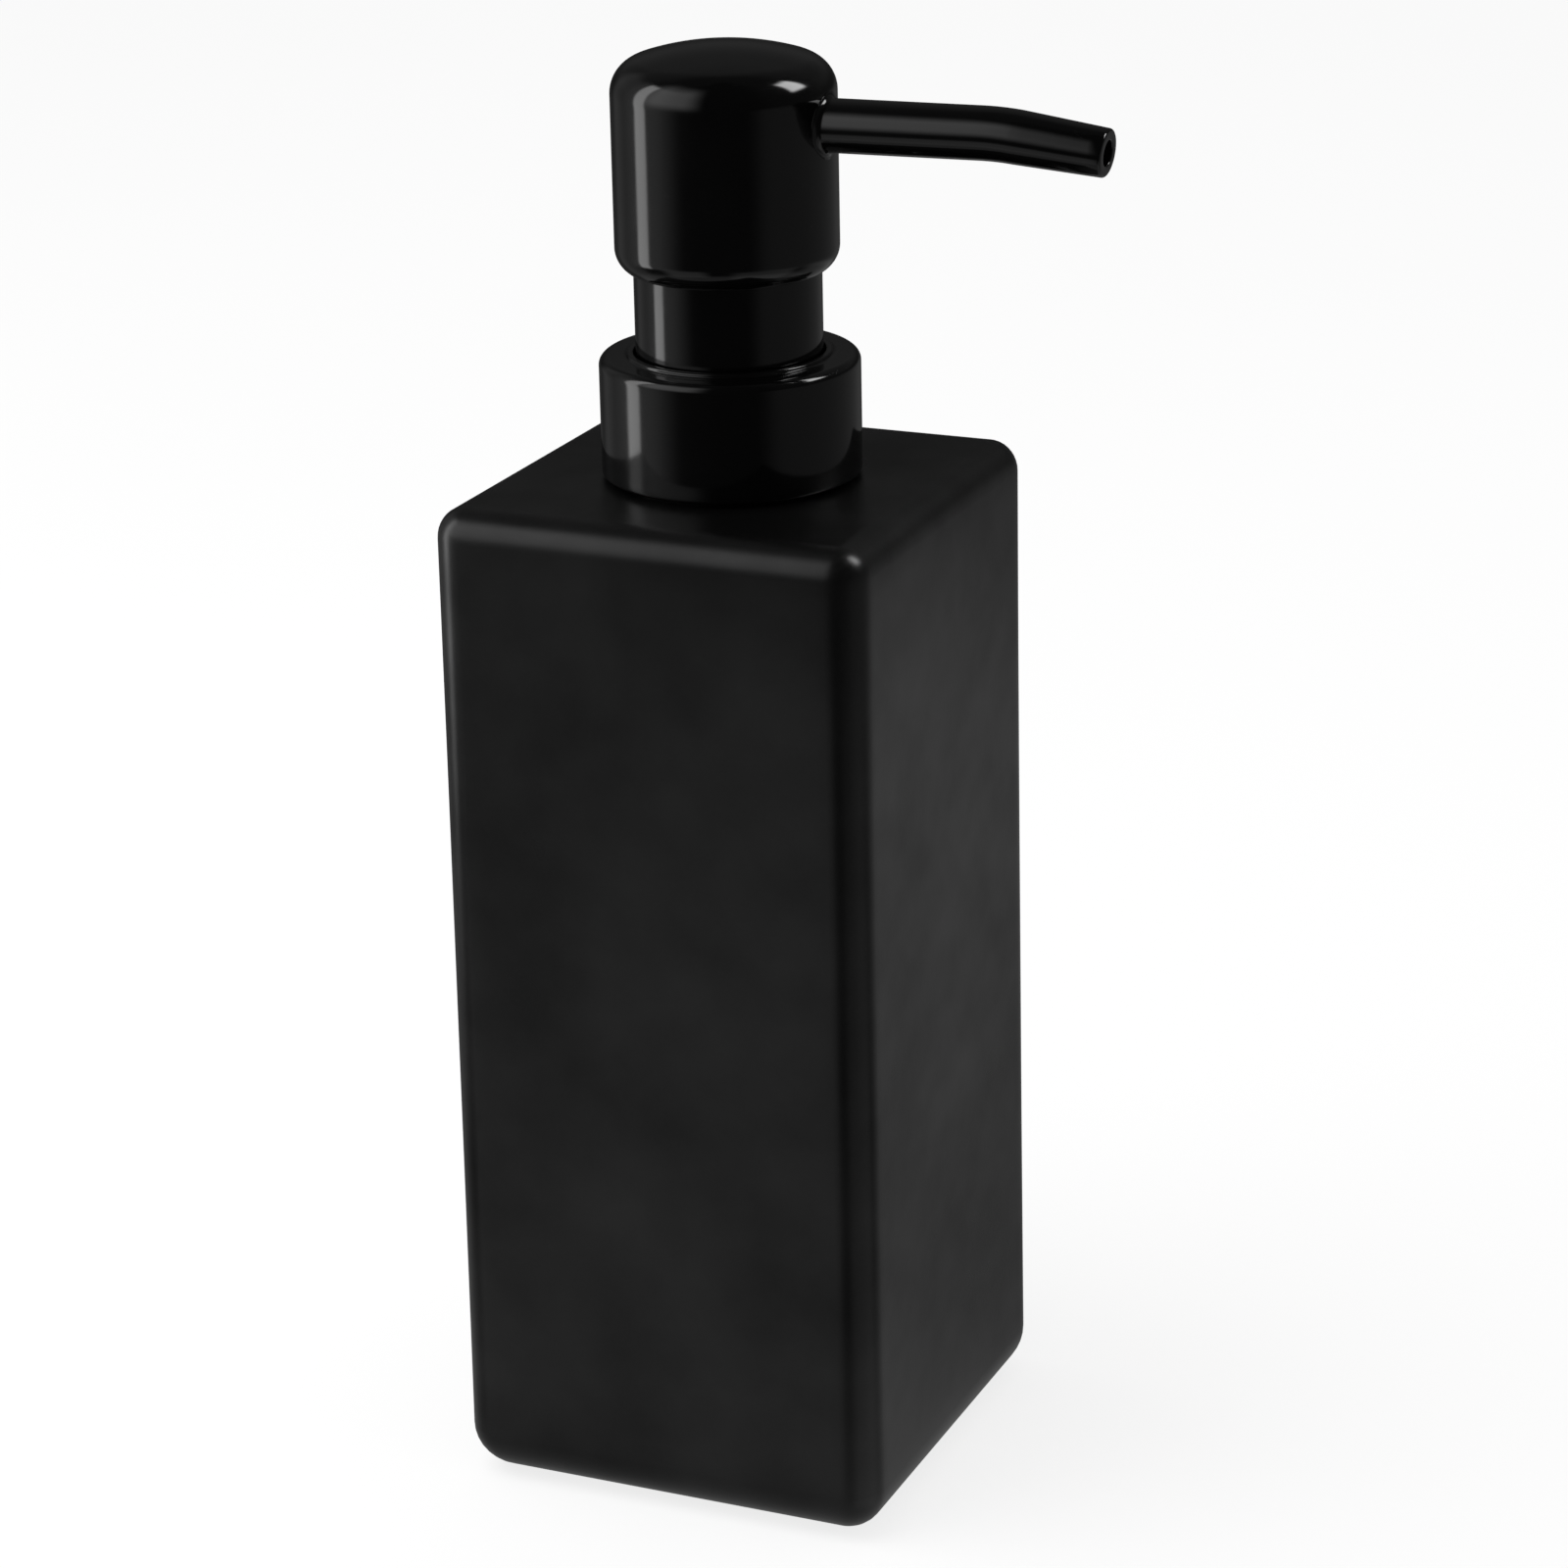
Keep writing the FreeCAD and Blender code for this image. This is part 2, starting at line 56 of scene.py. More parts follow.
MM = 0.001
bottle_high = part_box("bottle")[1]
half_side, bottle_top = bottle_high[0], bottle_high[2]
EDGE_R = 4.6 * MM
SHOULDER_R = 4.0 * MM
FOOT_EDGE_R = 6.8 * MM
JAR_WALL = 4.0 * MM
JAR_FLOOR = 6.0 * MM
JAR_ROOF = 5.0 * MM
MOUTH_R = 12.3 * MM
MOUTH_EDGE_R = 0.5 * MM
CAVITY_EDGE_R = 3.0 * MM
FOOT_HALF = 22.0 * MM
FOOT_DEPTH = 1.0 * MM
FOOT_CORNER_R = 3.0 * MM
FLAT_INSET = 0.2 * MM
TOP_INSET = 0.3 * MM
CAVITY_INSET = 0.5 * MM
CORNER_STEPS = 12
SIDE_STEPS = 22
SIDE_RINGS = 44
EDGE_RINGS = 10
CAVITY_EDGE_RINGS = 6


def square_ring(half, corner_r, height):
    """Points round a square with rounded corners, always the same number of them."""
    straight = half - corner_r
    points = []
    for quarter in range(4):
        turn = Matrix.Rotation(quarter * math.pi / 2, 3, "Z")
        for step in range(SIDE_STEPS):
            across = straight * (2 * (step + 0.5) / SIDE_STEPS - 1)
            points.append(turn @ Vector((half, across, height)))
        for step in range(CORNER_STEPS + 1):
            angle = math.pi / 2 * step / CORNER_STEPS
            points.append(turn @ Vector((straight + corner_r * math.cos(angle),
                                         straight + corner_r * math.sin(angle), height)))
    return points


def round_ring(radius, height):
    """The same number of points on a circle, each in the direction of the square ring's."""
    return [Vector((point.x, point.y, 0)).normalized() * radius + Vector((0, 0, height))
            for point in square_ring(1, 0.3, 0)]


def rounded_edge(half, edge_r, corner_r, height, start, end, steps):
    """Rings over a rounded edge of the square: start and end are angles from straight up."""
    rings = []
    for step in range(steps + 1):
        angle = math.radians(start + (end - start) * step / steps)
        out = max(math.sin(angle), 0.0)
        rings.append(square_ring(half - edge_r * (1 - out), corner_r * out,
                                 height + edge_r * math.cos(angle)))
    return rings


def placed(name, data):
    """A new object in the scene."""
    made = bpy.data.objects.new(name, data)
    bpy.context.scene.collection.objects.link(made)
    return made


def lofted(name, rings, closed=False):
    """A mesh through rings of points, each joined to the next. The ends become poles, or with
    closed the last ring joins the first."""
    mesh = bmesh.new()
    rows = [[mesh.verts.new(point) for point in ring] for ring in rings]
    pairs = list(zip(rows, rows[1:])) + ([(rows[-1], rows[0])] if closed else [])
    for low, high in pairs:
        for here in range(len(low)):
            there = (here + 1) % len(low)
            mesh.faces.new((low[here], low[there], high[there], high[here]))
    if not closed:
        for row in (rows[0], rows[-1]):
            middle = mesh.verts.new(sum((v.co for v in row), Vector()) / len(row))
            for here in range(len(row)):
                mesh.faces.new((row[here], row[(here + 1) % len(row)], middle))
    bmesh.ops.remove_doubles(mesh, verts=mesh.verts, dist=1e-7)
    bmesh.ops.dissolve_degenerate(mesh, edges=mesh.edges, dist=1e-8)
    bmesh.ops.recalc_face_normals(mesh, faces=mesh.faces)
    for face in mesh.faces:
        face.smooth = True
    data = bpy.data.meshes.new(name)
    mesh.to_mesh(data)
    mesh.free()
    return placed(name, data)


# The underside, from the middle of its recess to the flat ring that the bottle stands on:
# each ring's half width and height
recess = ((6 * MM, FOOT_DEPTH), (14 * MM, FOOT_DEPTH), (21 * MM, FOOT_DEPTH),
          (FOOT_HALF, 0.9 * FOOT_DEPTH), (FOOT_HALF + 0.1 * MM, 0.25 * MM),
          (FOOT_HALF + 0.4 * MM, 0))
underside = [square_ring(half, FOOT_CORNER_R * min(1, half / FOOT_HALF), height)
             for half, height in recess]
underside += [square_ring(half_side - FOOT_EDGE_R - FLAT_INSET, FLAT_INSET, 0)]

# The sides, with the rounded edges at the foot and the shoulder
side_low, side_high = FOOT_EDGE_R, bottle_top - SHOULDER_R
outside = rounded_edge(half_side, FOOT_EDGE_R, EDGE_R, side_low, 180, 90, EDGE_RINGS)
outside += [square_ring(half_side, EDGE_R, side_low + (side_high - side_low) * step / SIDE_RINGS)
            for step in range(1, SIDE_RINGS)]
outside += rounded_edge(half_side, SHOULDER_R, EDGE_R, side_high, 90, 0, EDGE_RINGS)
outside += [square_ring(half_side - SHOULDER_R - TOP_INSET, TOP_INSET, bottle_top)]

# The top round the mouth, the mouth with its softened edges, and the cavity down to its floor
cavity_half, cavity_top = half_side - JAR_WALL, bottle_top - JAR_ROOF
inside = [round_ring(radius, bottle_top)
          for radius in (20 * MM, 16 * MM, MOUTH_R + 2 * MOUTH_EDGE_R, MOUTH_R + MOUTH_EDGE_R)]
inside += [round_ring(MOUTH_R + MOUTH_EDGE_R * (1 - math.sin(angle)),
                      bottle_top - MOUTH_EDGE_R * (1 - math.cos(angle)))
           for angle in (math.pi / 6, math.pi / 3, math.pi / 2)]
inside += [round_ring(MOUTH_R, cavity_top + 0.2 * MM), round_ring(MOUTH_R + 0.3 * MM, cavity_top)]
inside += [square_ring(cavity_half - CAVITY_EDGE_R - CAVITY_INSET, CAVITY_INSET, cavity_top)]
inside += rounded_edge(cavity_half, CAVITY_EDGE_R, CAVITY_EDGE_R, cavity_top - CAVITY_EDGE_R,
                       0, 90, CAVITY_EDGE_RINGS)
inside += rounded_edge(cavity_half, CAVITY_EDGE_R, CAVITY_EDGE_R, JAR_FLOOR + CAVITY_EDGE_R,
                       90, 180, CAVITY_EDGE_RINGS)
inside += [square_ring(12 * MM, 2 * MM, JAR_FLOOR), square_ring(4 * MM, 1 * MM, JAR_FLOOR)]

# The mould tapers a little to the top. A cast wall is never quite flat either: it draws in
# between its edges as it dries, and ripples a little.
TAPER = 0.013
DRAW_IN = 0.22 * MM
RIPPLE = 0.05 * MM
RIPPLES_IN_A_METRE = 45
FACE_MARGIN = 0.3 * MM
for ring in outside:
    for point in ring:
        height = point.z / bottle_top
        point.xy *= 1 - TAPER * height
        along = 1 - min(1, abs(2 * height - 1)) ** 4
        for axis in (0, 1):
            across = 1 - min(1, abs(point[1 - axis]) / half_side) ** 3
            if abs(point[axis]) > half_side - EDGE_R - FACE_MARGIN:
                place = point * RIPPLES_IN_A_METRE + Vector((axis * 7, 0, 3))
                ripple = RIPPLE * (1 + noise.noise(place))
                inwards = (DRAW_IN * along + ripple) * across * along
                point[axis] -= math.copysign(inwards, point[axis])

bottle = lofted("glazed_bottle", underside + outside + inside)


def node(tree, kind, inputs=None, **settings):
    """Adds a shader node. Each input is given a value, or the output that it is joined to."""
    made = tree.nodes.new(kind)
    for key, value in settings.items():
        setattr(made, key, value)
    for key, value in (inputs or {}).items():
        if isinstance(value, bpy.types.NodeSocket):
            tree.links.new(value, made.inputs[key])
        else:
            made.inputs[key].default_value = value
    return made


def group_of(name, inputs, output, kind="NodeSocketFloat"):
    """An empty node group with named number inputs and one output."""
    tree = bpy.data.node_groups.new(name, "ShaderNodeTree")
    for key, value in inputs.items():
        socket = tree.interface.new_socket(key, in_out="INPUT", socket_type="NodeSocketFloat")
        socket.default_value = value
    tree.interface.new_socket(output, in_out="OUTPUT", socket_type=kind)
    return tree, node(tree, "NodeGroupInput").outputs, node(tree, "NodeGroupOutput")


def math_node(tree, operation, first, second=0.0, clamp=False):
    """A sum, product or other function of one or two numbers."""
    return node(tree, "ShaderNodeMath", {0: first, 1: second}, operation=operation,
                use_clamp=clamp).outputs[0]


def object_place(tree):
    """Where a point is on the piece."""
    return node(tree, "ShaderNodeTexCoord").outputs["Object"]


# Clouds: slow drifts in colour or gloss. Size is how wide a cloud is, in millimetres.
clouds, given, result = group_of("Clouds", {"Size": 20, "Low": 0, "High": 1, "Detail": 3}, "Value")
frequency = math_node(clouds, "DIVIDE", 1000, given["Size"])
drift = node(clouds, "ShaderNodeTexNoise", {"Vector": object_place(clouds), "Scale": frequency,
                                            "Detail": given["Detail"], "Roughness": 0.5})
spread = node(clouds, "ShaderNodeMapRange", {
    "Value": drift.outputs["Fac"], "From Min": 0.32, "From Max": 0.68,
    "To Min": given["Low"], "To Max": given["High"]})
clouds.links.new(spread.outputs[0], result.inputs[0])

# Skin: the fine relief of a moulded or fired surface. Depth is in thousandths of a millimetre.
skin, given, result = group_of("Skin", {"Size": 1, "Depth": 1, "Detail": 2}, "Normal",
                               "NodeSocketVector")
frequency = math_node(skin, "DIVIDE", 1000, given["Size"])
relief = node(skin, "ShaderNodeTexNoise", {"Vector": object_place(skin), "Scale": frequency,
                                           "Detail": given["Detail"]})
depth = math_node(skin, "MULTIPLY", given["Depth"], 1e-6)
bump = node(skin, "ShaderNodeBump", {"Height": relief.outputs["Fac"], "Distance": depth,
                                     "Strength": 1.0})
skin.links.new(bump.outputs[0], result.inputs[0])


def use(tree, group, **values):
    """Places a shared group in a material with its own values, and gives its output."""
    placed_group = node(tree, "ShaderNodeGroup", node_tree=group)
    for key, value in values.items():
        placed_group.inputs[key].default_value = value
    return placed_group.outputs[0]


def material(name, **constants):
    """A material with one Principled shader, and the constants set on that shader's sockets."""
    made = bpy.data.materials.new(name)
    made.use_nodes = True
    shader = made.node_tree.nodes["Principled BSDF"]
    for key, value in constants.items():
        shader.inputs[key.replace("_", " ")].default_value = value
    return made, made.node_tree, shader


def dress(tree, shader, **outputs):
    """Joins what changes over a surface, such as its colour and relief, to the shader."""
    for key, value in outputs.items():
        tree.links.new(value, shader.inputs[key.replace("_", " ")])


def tint(tree, factor, dark, light):
    """A colour between dark and light."""
    return node(tree, "ShaderNodeMix", {"Factor": factor, "A": (*dark, 1), "B": (*light, 1)},
                data_type="RGBA").outputs["Result"]


THIN_GLAZE = (0.0020, 0.0020, 0.0021)
POOLED_GLAZE = (0.0090, 0.0090, 0.0091)
DARK_CLAY = (0.10, 0.095, 0.085)
LIGHT_CLAY = (0.17, 0.16, 0.145)
CLAY_ROUGHNESS = 0.8
glaze, tree, shader = material("Satin_Black_Glaze", IOR=1.5, Specular_IOR_Level=0.3,
                               Coat_Roughness=0.33, Coat_IOR=1.5)
pool = use(tree, clouds, Size=24, Low=0, High=1, Detail=3)
speckle = use(tree, clouds, Size=0.7, Low=0, High=1, Detail=2)
depth_of_glaze = node(tree, "ShaderNodeMix", {"Factor": 0.18, "A": pool, "B": speckle})
glazed = tint(tree, depth_of_glaze.outputs["Result"], THIN_GLAZE, POOLED_GLAZE)
height = node(tree, "ShaderNodeSeparateXYZ", {0: object_place(tree)}).outputs["Z"]
wiped = node(tree, "ShaderNodeMapRange", {"Value": height, "From Min": 0.3 * MM,
                                          "From Max": 0.6 * MM, "To Min": 1.0, "To Max": 0.0})
bare = tint(tree, speckle, DARK_CLAY, LIGHT_CLAY)
colour = node(tree, "ShaderNodeMix", {"Factor": wiped.outputs[0], "A": glazed, "B": bare},
              data_type="RGBA")
gloss = use(tree, clouds, Size=22, Low=0.27, High=0.38, Detail=3)
dulled = node(tree, "ShaderNodeMix", {"Factor": wiped.outputs[0], "A": gloss, "B": CLAY_ROUGHNESS})
dress(tree, shader, Base_Color=colour.outputs["Result"], Roughness=dulled.outputs["Result"],
      Coat_Weight=use(tree, clouds, Size=21, Low=0.17, High=0.69, Detail=3.5),
      Normal=use(tree, skin, Size=0.55, Depth=9, Detail=2))
bottle.data.materials.append(glaze)

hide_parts("bottle")
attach(bottle, "bottle")


# ---------------------------------------------------------------------------------------------
# Neck: a black polypropylene ring with one turn of thread, moulded in a two-part tool.
# It is bonded in the mouth of the bottle, and the collar screws on it.

# Hair scratches: what handling leaves on a hard plastic. Length is in millimetres.
scratches, given, result = group_of("Hair_Scratches", {"Length": 12, "Width": 0.004,
                                                       "Amount": 0.5}, "Mask")
place = object_place(scratches)
frequency = math_node(scratches, "DIVIDE", 1000, given["Length"])
slanted = node(scratches, "ShaderNodeMapping", {"Vector": place, "Rotation": (0.5, 0.3, 0.9),
                                                "Scale": (1, 1, 3.2)})
lines = node(scratches, "ShaderNodeTexNoise", {"Vector": slanted.outputs[0], "Scale": frequency,
                                               "Detail": 1.0})
off_line = math_node(scratches, "ABSOLUTE",
                     math_node(scratches, "SUBTRACT", lines.outputs["Fac"], 0.5))
on_line = math_node(scratches, "LESS_THAN", off_line, given["Width"])
patches = node(scratches, "ShaderNodeTexNoise", {"Vector": place, "Scale": 260, "Detail": 2.0})
threshold = math_node(scratches, "SUBTRACT", 0.75,
                      math_node(scratches, "MULTIPLY", given["Amount"], 0.25))
shown = math_node(scratches, "GREATER_THAN", patches.outputs["Fac"], threshold)
scratches.links.new(math_node(scratches, "MULTIPLY", on_line, shown), result.inputs[0])


def moulded(name, dark, light, gloss_low, gloss_high, grain, depth, scratched=0.3, **constants):
    """Moulded plastic: a faint drift of colour, uneven gloss, fine grain and a few scratches."""
    made, tree, shader = material(name, **constants)
    drift = use(tree, clouds, Size=9, Low=0, High=1, Detail=3)
    scratch = use(tree, scratches, Length=14, Width=0.004, Amount=scratched)
    gloss = use(tree, clouds, Size=6, Low=gloss_low, High=gloss_high, Detail=4)
    roughened = math_node(tree, "ADD", gloss, math_node(tree, "MULTIPLY", scratch, 0.25),
                          clamp=True)
    dress(tree, shader, Base_Color=tint(tree, drift, dark, light), Roughness=roughened,
          Normal=use(tree, skin, Size=grain, Depth=depth, Detail=2))
    return made


def finish_node(name, made):
    """Gives a carried-over piece its finish."""
    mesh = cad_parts[name].data
    mesh.materials.clear()
    mesh.materials.append(made)


neck_black = moulded("Neck_Black_Plastic", (0.010, 0.010, 0.011), (0.018, 0.018, 0.019),
                     0.30, 0.42, grain=0.35, depth=8)
finish_node("neck_ring", neck_black)


# ---------------------------------------------------------------------------------------------
# Gasket: a flat ring stamped from closed-cell foam. It lies on the neck, under the flange of
# the pump's cylinder, and seals the bottle when the collar is screwed down.

CELLS_IN_A_METRE = 4200
PORE_DEPTH = 0.03 * MM
foam, tree, shader = material("Sealing_Foam", IOR=1.4)
cells = node(tree, "ShaderNodeTexVoronoi", {"Vector": object_place(tree),
                                            "Scale": CELLS_IN_A_METRE}, feature="F1")
pores = node(tree, "ShaderNodeBump", {"Height": cells.outputs["Distance"], "Distance": PORE_DEPTH})
# The colour is darker towards each pore's middle, where the bump sinks into a hollow: painted
# shade in the pores.
dress(tree, shader,
      Base_Color=tint(tree, cells.outputs["Distance"], (0.50, 0.48, 0.43), (0.78, 0.76, 0.71)),
      Roughness=use(tree, clouds, Size=2, Low=0.72, High=0.9, Detail=2),
      Normal=pores.outputs[0])
finish_node("gasket", foam)


# ---------------------------------------------------------------------------------------------
# Cylinder and dip tube: natural polypropylene, milky and slightly see-through. The cylinder is
# moulded with its flange and ball seat; the tube is extruded, cut slanting and pushed in below.

milky = moulded("Milky_Polypropylene", (0.60, 0.63, 0.62), (0.70, 0.72, 0.71), 0.24, 0.34,
                grain=0.8, depth=4, scratched=0.15, Transmission_Weight=0.35, IOR=1.49)
finish_node("housing", milky)

STREAKS_IN_A_METRE = 1500
STREAK_STRETCH = 0.02
STREAK_DEPTH = 0.008 * MM
extruded, tree, shader = material("Extruded_Tube", Transmission_Weight=0.4, IOR=1.49)
drawn_out = node(tree, "ShaderNodeMapping", {"Vector": object_place(tree),
                                             "Scale": (1, 1, STREAK_STRETCH)})
streaks = node(tree, "ShaderNodeTexNoise", {"Vector": drawn_out.outputs[0],
                                            "Scale": STREAKS_IN_A_METRE, "Detail": 2})
streak = streaks.outputs["Fac"]
gloss = node(tree, "ShaderNodeMapRange", {"Value": streak, "To Min": 0.2, "To Max": 0.38})
ridges = node(tree, "ShaderNodeBump", {"Height": streak, "Distance": STREAK_DEPTH})
dress(tree, shader, Base_Color=tint(tree, streak, (0.58, 0.61, 0.60), (0.72, 0.74, 0.73)),
      Roughness=gloss.outputs[0], Normal=ridges.outputs[0])
finish_node("dip_tube", extruded)


# ---------------------------------------------------------------------------------------------
# Inlet ball and its cage: a polished stainless ball that drops on its seat, and the white
# acetal cage snapped in above it, on which the spring stands.

polished, tree, shader = material("Polished_Ball_Steel", Metallic=1.0)
drift = use(tree, clouds, Size=1.5, Low=0, High=1, Detail=3)
dress(tree, shader, Base_Color=tint(tree, drift, (0.60, 0.60, 0.61), (0.74, 0.74, 0.75)),
      Roughness=use(tree, clouds, Size=0.8, Low=0.05, High=0.14, Detail=4),
      Normal=use(tree, skin, Size=0.3, Depth=0.6, Detail=3))
finish_node("inlet_ball", polished)

acetal = moulded("White_Acetal", (0.70, 0.70, 0.67), (0.80, 0.80, 0.77), 0.28, 0.38,
                 grain=0.6, depth=5, scratched=0.2, Subsurface_Weight=0.1, Subsurface_Scale=0.002)
finish_node("ball_retainer", acetal)


# ---------------------------------------------------------------------------------------------
# Spring: stainless wire wound cold into nine turns, the last turn at each end closed.
# It stands on the ball's cage and lifts the stem; it is squeezed as the head goes down.

spring_low, spring_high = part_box("spring")
WIRE_R = 0.4 * MM
COIL_R = 4.5 * MM
TURNS = 9
POINTS_IN_A_TURN = 40
WIRE_SIDES = 14
coil = bpy.data.node_groups.new("Wound_Spring", "GeometryNodeTree")
for label, value in (("Turns", TURNS), ("Closed Turns", 1.0), ("Coil Radius", COIL_R),
                     ("Wire Radius", WIRE_R), ("Low", spring_low[2]), ("High", spring_high[2])):
    socket = coil.interface.new_socket(label, in_out="INPUT", socket_type="NodeSocketFloat")
    socket.default_value = value
coil.interface.new_socket("Finish", in_out="INPUT", socket_type="NodeSocketMaterial")
coil.interface.new_socket("Geometry", in_out="OUTPUT", socket_type="NodeSocketGeometry")
given = node(coil, "NodeGroupInput").outputs
line = node(coil, "GeometryNodeCurvePrimitiveLine", {"Start": (0, 0, 0), "End": (0, 0, 1)})
wire = node(coil, "GeometryNodeResampleCurve", {"Curve": line.outputs[0],
                                                "Count": TURNS * POINTS_IN_A_TURN + 1})
along = node(coil, "GeometryNodeSplineParameter").outputs["Factor"]
turned = math_node(coil, "MULTIPLY", along, given["Turns"])
angle = math_node(coil, "MULTIPLY", turned, 2 * math.pi)

# Both ends rise by only the wire's thickness in a turn; the turns between share the rest
start_z = math_node(coil, "ADD", given["Low"], given["Wire Radius"])
end_z = math_node(coil, "SUBTRACT", given["High"], given["Wire Radius"])
rise = math_node(coil, "SUBTRACT", end_z, start_z)
half_closed = math_node(coil, "MULTIPLY", given["Turns"], given["Wire Radius"])
closed_rise = math_node(coil, "MULTIPLY", half_closed, 2.0)
closed_share = math_node(coil, "DIVIDE", given["Closed Turns"], given["Turns"])
open_end = math_node(coil, "SUBTRACT", 1.0, closed_share)
open_share = node(coil, "ShaderNodeMapRange", {"Value": along, "From Min": closed_share,
                                               "From Max": open_end})
open_rise = math_node(coil, "MULTIPLY", open_share.outputs[0],
                      math_node(coil, "SUBTRACT", rise, closed_rise))
climbed = math_node(coil, "ADD", math_node(coil, "MULTIPLY", closed_rise, along), open_rise)
spot = node(coil, "ShaderNodeCombineXYZ", {
    "X": math_node(coil, "MULTIPLY", math_node(coil, "COSINE", angle), given["Coil Radius"]),
    "Y": math_node(coil, "MULTIPLY", math_node(coil, "SINE", angle), given["Coil Radius"]),
    "Z": math_node(coil, "ADD", start_z, climbed)})
wound = node(coil, "GeometryNodeSetPosition", {"Geometry": wire.outputs[0],
                                               "Position": spot.outputs[0]})
section = node(coil, "GeometryNodeCurvePrimitiveCircle", {"Resolution": WIRE_SIDES,
                                                          "Radius": given["Wire Radius"]})
thick = node(coil, "GeometryNodeCurveToMesh", {
    "Curve": wound.outputs[0], "Profile Curve": section.outputs[0], "Fill Caps": True})
smooth = node(coil, "GeometryNodeSetShadeSmooth", {"Geometry": thick.outputs[0]})
real = node(coil, "GeometryNodeRealizeInstances", {"Geometry": smooth.outputs[0]})
finished = node(coil, "GeometryNodeSetMaterial", {"Geometry": real.outputs[0],
                                                  "Material": given["Finish"]})
coil.links.new(finished.outputs[0], node(coil, "NodeGroupOutput").inputs[0])

wire_steel, tree, shader = material("Spring_Wire_Steel", Metallic=1.0)
drift = use(tree, clouds, Size=2.5, Low=0, High=1, Detail=3)
dress(tree, shader, Base_Color=tint(tree, drift, (0.42, 0.42, 0.43), (0.60, 0.60, 0.61)),
      Roughness=use(tree, clouds, Size=1.2, Low=0.18, High=0.34, Detail=4),
      Normal=use(tree, skin, Size=0.12, Depth=1.5, Detail=2))


def taken_from(piece):
    """The plain mesh that a piece's modifiers make. The modifiers are then removed."""
    bpy.context.view_layer.update()
    finished = piece.evaluated_get(bpy.context.evaluated_depsgraph_get())
    mesh = bpy.data.meshes.new_from_object(finished)
    piece.modifiers.clear()
    return mesh


carrier = placed("spring_carrier", bpy.data.meshes.new("spring_carrier"))
winding = carrier.modifiers.new("winding", "NODES")
winding.node_group = coil
sockets = {item.name: item.identifier for item in coil.interface.items_tree
           if item.in_out == "INPUT"}
winding[sockets["Finish"]] = wire_steel
spring = placed("wire_spring", taken_from(carrier))
bpy.data.objects.remove(carrier)
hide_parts("spring")
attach(spring, "pump_core")
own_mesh(spring)


# ---------------------------------------------------------------------------------------------
# Stem, plug, piston and chaplet: white moulded parts inside the pump. The hollow stem carries
# the head; its plug opens and shuts the piston's ports; the chaplet snaps in to hold them down.

white = moulded("White_Polypropylene", (0.72, 0.72, 0.70), (0.82, 0.82, 0.80), 0.26, 0.36,
                grain=0.7, depth=5, scratched=0.2, Subsurface_Weight=0.1, Subsurface_Scale=0.002)
for name in ("stem", "stem_plug", "chaplet"):
    finish_node(name, white)
soft = moulded("Soft_Polyethylene", (0.66, 0.68, 0.67), (0.74, 0.76, 0.75), 0.38, 0.5,
               grain=0.9, depth=6, scratched=0.35, Transmission_Weight=0.2, IOR=1.5)
finish_node("piston", soft)


# ---------------------------------------------------------------------------------------------
# Guide sleeve: a fixed black tube on the pump's flange, held down by the collar's roof.
# Moulded in ABS and polished in the tool; the head slides down over it.

LATHE_STEPS = 160


def rounded(corner, radius, start, end, steps=8):
    """Profile points (r, z) on an arc about corner. Angles are in degrees from outwards."""
    points = []
    for step in range(steps + 1):
        angle = math.radians(start + (end - start) * step / steps)
        points.append((corner[0] + radius * math.cos(angle),
                       corner[1] + radius * math.sin(angle)))
    return points


def between(first, last, steps):
    """Profile points on a line, without its ends."""
    return [tuple(a + (b - a) * step / steps for a, b in zip(first, last))
            for step in range(1, steps)]


def turned_piece(name, profile, closed=True):
    """A piece turned about the pump's axis from a profile of (r, z) points."""
    angles = [2 * math.pi * step / LATHE_STEPS for step in range(LATHE_STEPS)]
    rings = [[Vector((r * math.cos(a), r * math.sin(a), z)) for a in angles] for r, z in profile]
    return lofted(name, rings, closed)


sleeve_low, sleeve_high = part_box("guide_sleeve")
flange_r = sleeve_high[0]
SLEEVE_R = 12.0 * MM
SLEEVE_BORE_R = 10.6 * MM
SLEEVE_EDGE_R = 0.4 * MM
FLANGE_H = 1.1 * MM
SOFT_R = 0.2 * MM
low, high = sleeve_low[2], sleeve_high[2]
flange_top = low + FLANGE_H
profile = [(SLEEVE_BORE_R, low), (flange_r - SOFT_R, low), (flange_r, low + SOFT_R)]
profile += rounded((flange_r - SOFT_R, flange_top - SOFT_R), SOFT_R, 0, 90, 3)
profile += [(SLEEVE_R + SOFT_R, flange_top), (SLEEVE_R, flange_top + SOFT_R)]
profile += between((SLEEVE_R, flange_top + SOFT_R), (SLEEVE_R, high - SLEEVE_EDGE_R), 24)
profile += rounded((SLEEVE_R - SLEEVE_EDGE_R, high - SLEEVE_EDGE_R), SLEEVE_EDGE_R, 0, 90, 5)
profile += [(SLEEVE_BORE_R + SOFT_R, high), (SLEEVE_BORE_R, high - SOFT_R)]
profile += between((SLEEVE_BORE_R, high - SOFT_R), (SLEEVE_BORE_R, low), 8)
sleeve = turned_piece("polished_sleeve", profile)

